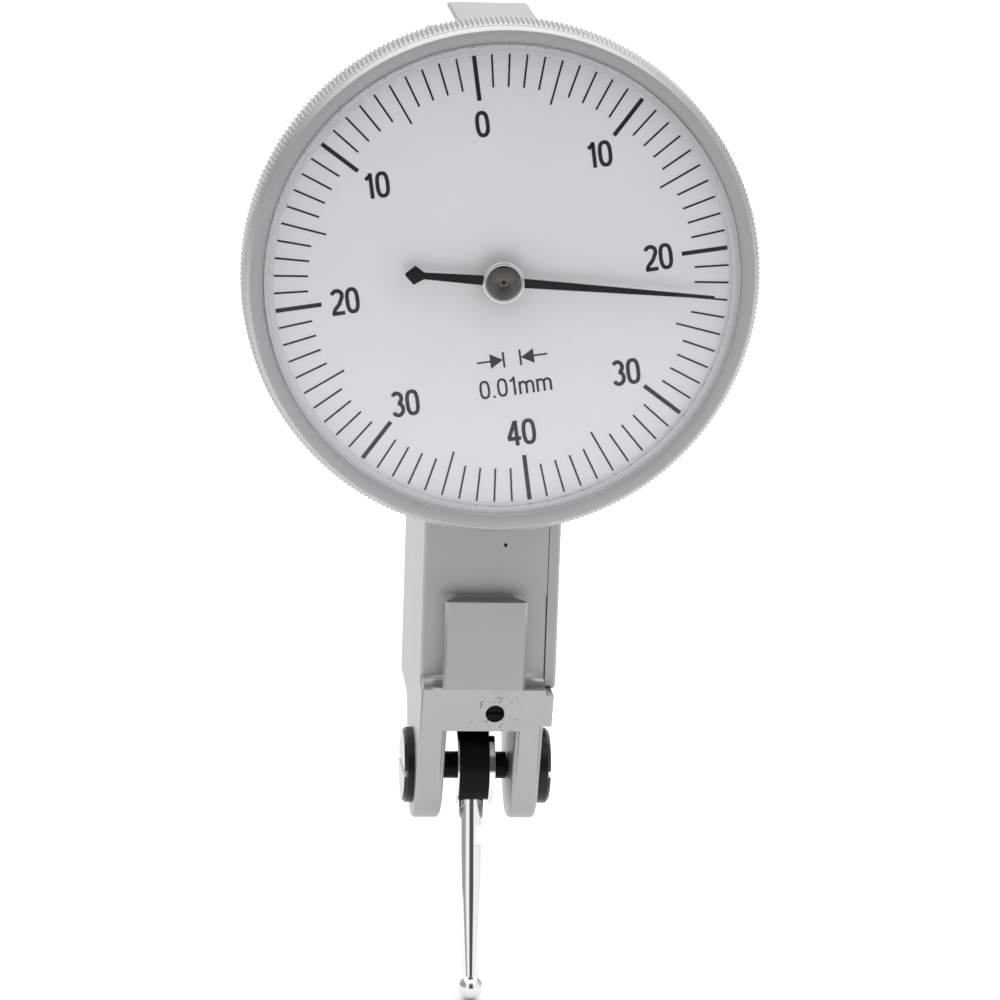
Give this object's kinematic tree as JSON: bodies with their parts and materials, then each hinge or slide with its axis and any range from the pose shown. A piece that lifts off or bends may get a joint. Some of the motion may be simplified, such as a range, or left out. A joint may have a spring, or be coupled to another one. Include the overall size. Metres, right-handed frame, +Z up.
{
  "type": "dial test indicator",
  "caption": "Lever-type dial test indicator with a slim dovetailed body, turning bezel, domed crystal and a swivelling ball-tipped stylus.",
  "frame": {"origin": "middle of the rear dovetail's flat face, on the dial's axis", "axes": "+Z up along the body bar, -Y out through the dial towards the reader, +X to the reader's right"},
  "size_m": [0.04, 0.0267, 0.0793],
  "materials": {
    "satin": "satin chromed, fine matte",
    "bezel_satin": "satin chromed, fine straight knurl",
    "black_oxide": "black oxide, semi gloss",
    "bright": "polished",
    "steel": "fine turned steel",
    "screw_steel": "polished screw heads",
    "spring_steel": "tempered strip",
    "brass": "machined",
    "bronze": "dark bronze",
    "ruby": "polished synthetic ruby",
    "crystal": "clear domed window",
    "dial": "satin, printed",
    "pointer_black": "matte black"
  },
  "bodies": {
    "body": {"body_housing": "satin", "side_cover": "satin", "cover_screws": "screw_steel", "case_plate": "satin", "case_screws": "screw_steel", "pivot_screws": "black_oxide", "set_screw": "black_oxide", "stop_pins": "steel", "movement_plate": "brass", "movement_screws": "screw_steel", "centre_bridge": "brass", "bridge_screw": "screw_steel", "jewel_bearings": "ruby", "front_jewel": "ruby", "lever_spring": "spring_steel", "spring_foot": "brass", "spring_screw": "screw_steel", "hairspring": "spring_steel", "hairspring_stud": "brass"},
    "lever": {"lever_arm": "bright", "lever_axle": "black_oxide", "friction_washer": "bright", "sector_gear": "brass", "sector_rivets": "steel", "spring_pin": "steel"},
    "stylus_assembly": {"swivel_hub": "black_oxide", "stylus": "bright", "stylus_ball": "bright"},
    "crown_shaft": {"crown_arbor": "steel", "arbor_pinion": "steel", "crown_gear": "brass", "crown_collet": "brass"},
    "pointer_shaft": {"centre_arbor": "bronze", "centre_pinion": "steel", "pointer": "pointer_black", "pointer_boss": "bright", "pointer_bush": "brass", "hairspring_collet": "brass"},
    "bezel_assembly": {"bezel": "bezel_satin", "crystal": "crystal", "dial_face": "dial", "dial_clamp_ring": "spring_steel", "retaining_wire": "spring_steel"}
  },
  "joints": [
    {"name": "bezel_turn", "type": "hinge", "parent": "body", "child": "bezel_assembly", "pos_m": [0, -0.0221, 0], "axis": [0, 1, 0], "continuous": true},
    {"name": "pointer_spin", "type": "hinge", "parent": "body", "child": "pointer_shaft", "pos_m": [0, -0.0221, 0], "axis": [0, 1, 0], "range_deg": [-199.7, 199.7]},
    {"name": "crown_spin", "type": "hinge", "parent": "body", "child": "crown_shaft", "pos_m": [0, -0.0143, 0], "axis": [1, 0, 0], "range_deg": [-48.7, 48.7]},
    {"name": "lever_swing", "type": "hinge", "parent": "body", "child": "lever", "pos_m": [0, -0.0143, -0.0415], "axis": [1, 0, 0], "range_deg": [-1.42, 1.42]},
    {"name": "stylus_swivel", "type": "hinge", "parent": "lever", "child": "stylus_assembly", "pos_m": [0, -0.0143, -0.0415], "axis": [1, 0, 0], "range_deg": [-99, 118]}
  ],
  "couplings": [
    {"joint": "crown_spin", "follows": "lever_swing", "ratio": -33.583},
    {"joint": "pointer_spin", "follows": "lever_swing", "ratio": 139.93}
  ]
}
